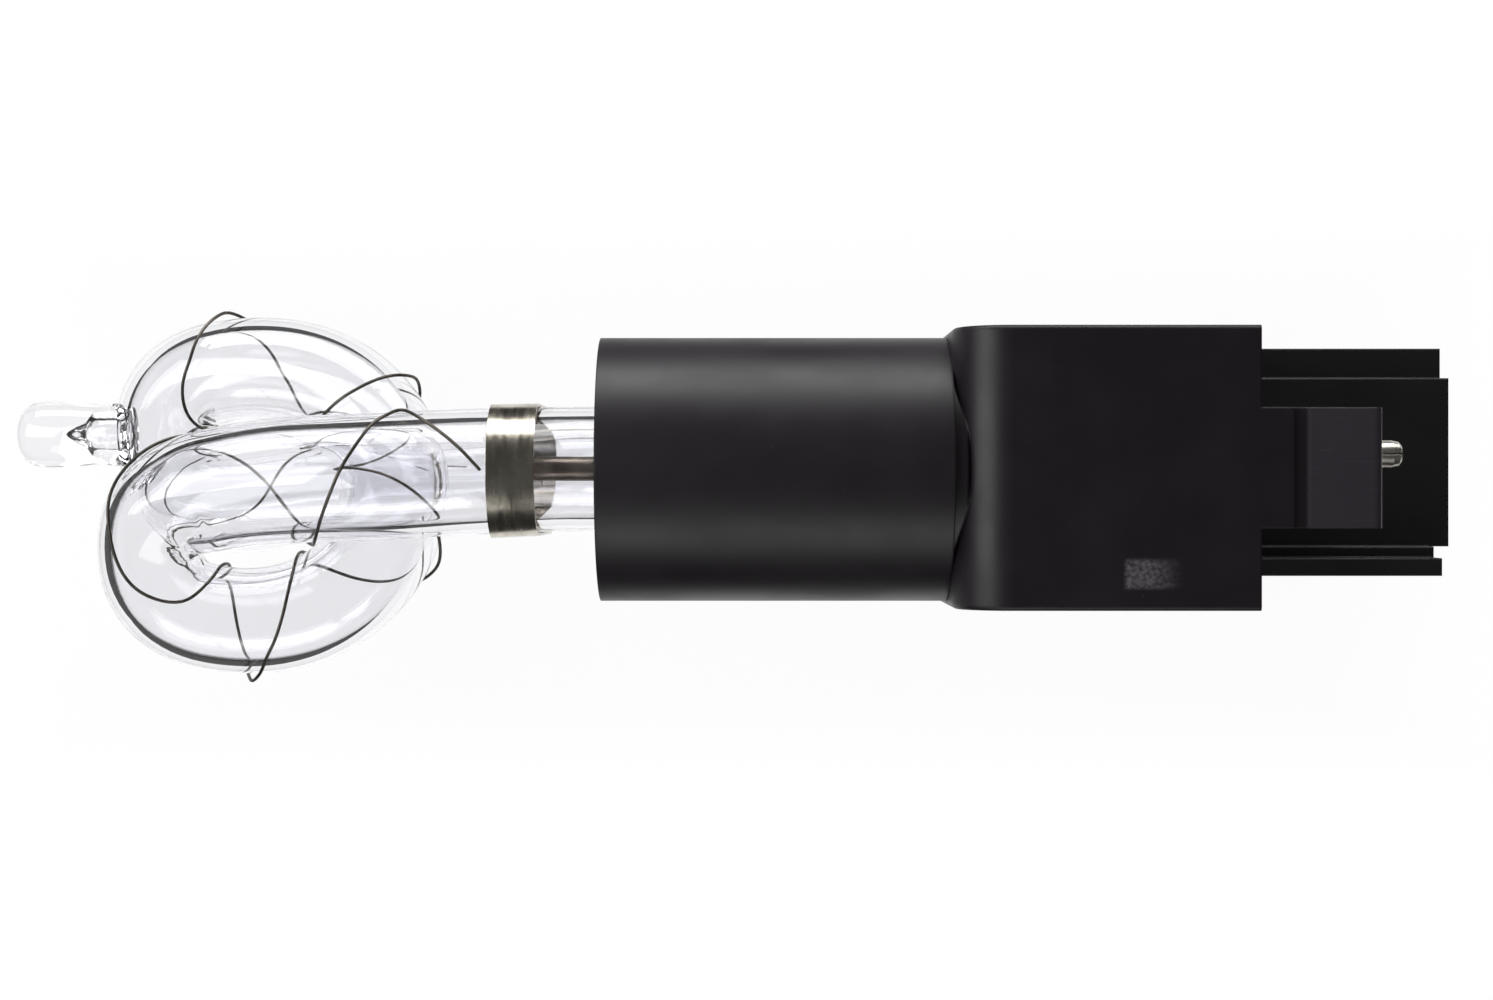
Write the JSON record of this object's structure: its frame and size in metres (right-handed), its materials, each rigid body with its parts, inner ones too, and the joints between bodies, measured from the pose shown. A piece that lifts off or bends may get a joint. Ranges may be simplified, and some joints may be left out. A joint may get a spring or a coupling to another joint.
{
  "type": "plug-in xenon flash lamp",
  "caption": "Coiled clear glass xenon flash tube with a trigger wire, on a black barrel and square plug base with contact pins and a latch tongue.",
  "frame": {"origin": "on the barrel's axis at the shoulder where the barrel meets the block", "axes": "+X along the lamp towards the contact pins, +Z towards the side with the latch tongue, +Y up in the picture"},
  "size_m": [0.1183, 0.0285, 0.0285],
  "materials": {
    "clear_glass": "clear fire-polished glass",
    "tungsten": "dull heated tungsten",
    "tinned_metal": "satin tin plate",
    "copper": "drawn copper",
    "silicone": "matte silicone",
    "nickel": "rolled nickel strip",
    "trigger_steel": "drawn wire",
    "cement": "chalky cement",
    "black_tube": "satin black",
    "black_moulding": "satin moulded black",
    "ferrite": "sintered ferrite",
    "bobbin_plastic": "moulded natural plastic"
  },
  "bodies": {
    "root": {"glass_tube": "clear_glass", "anode": "tungsten", "cathode": "tungsten", "anode_ferrule": "tinned_metal", "cathode_ferrule": "tinned_metal", "anode_lead": "copper", "cathode_lead": "copper", "anode_sleeve": "silicone", "cathode_sleeve": "silicone", "clamp_band": "nickel", "trigger_wire": "trigger_steel", "trigger_lead": "nickel", "cement_plug": "cement", "barrel": "black_tube", "housing": "black_moulding", "connector_insert": "black_moulding", "pin_anode": "tinned_metal", "pin_trigger": "tinned_metal", "pin_cathode": "tinned_metal", "transformer_core": "ferrite", "transformer_bobbin": "bobbin_plastic", "secondary_winding": "copper", "primary_winding": "copper"}
  },
  "joints": []
}
